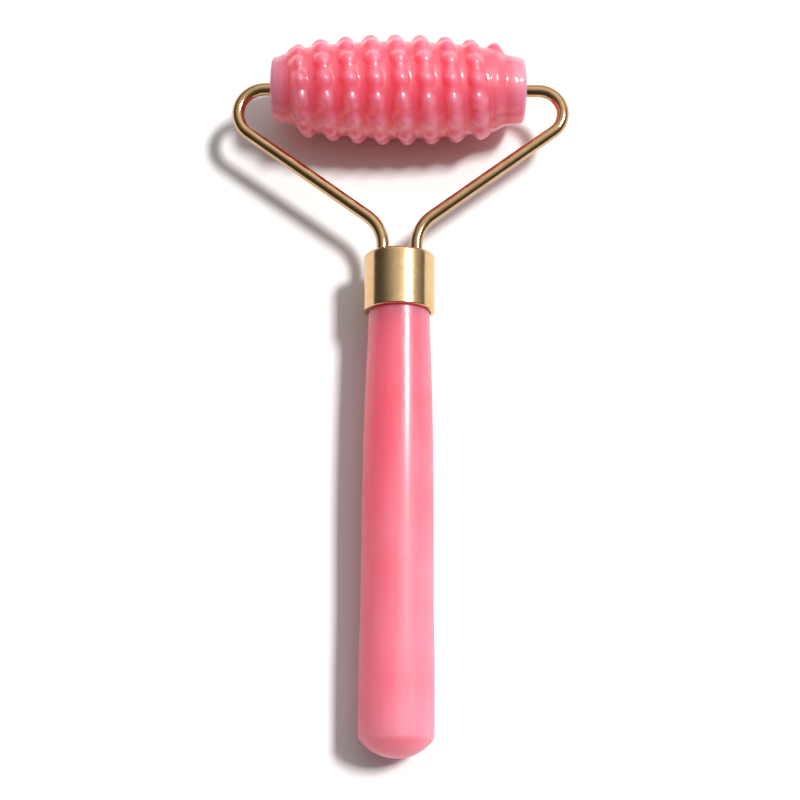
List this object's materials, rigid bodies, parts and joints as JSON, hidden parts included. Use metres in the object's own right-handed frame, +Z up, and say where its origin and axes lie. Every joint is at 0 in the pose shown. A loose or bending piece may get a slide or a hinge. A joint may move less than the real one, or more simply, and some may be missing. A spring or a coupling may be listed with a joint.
{
  "type": "facial massage roller",
  "caption": "Hand roller for facial massage: round resin handle, brass ferrule and bent wire arms, and a knobbed resin roller that spins freely between the arms.",
  "frame": {"origin": "centre of the bounding box's underside, on the table that the roller lies on", "axes": "+Y along the tool from the handle's domed end to the roller, +X along the roller's axle to the right, +Z up from the table"},
  "size_m": [0.071, 0.1499, 0.0226],
  "materials": {
    "resin": "polished translucent rose resin",
    "brass": "polished, gold toned",
    "nylon": "natural moulded nylon",
    "solder": "dull soft solder",
    "epoxy": "cured clear epoxy"
  },
  "bodies": {
    "frame": {"handle": "resin", "ferrule": "brass", "anchor_plug": "brass", "arm_solder": "solder", "ferrule_epoxy": "epoxy", "left_arm": "brass", "right_arm": "brass"},
    "roller": {"roller": "resin", "left_bush": "nylon", "right_bush": "nylon"}
  },
  "joints": [
    {"name": "roller_spin", "type": "hinge", "parent": "frame", "child": "roller", "pos_m": [0, 0.06338, 0.01132], "axis": [1, 0, 0], "continuous": true}
  ]
}
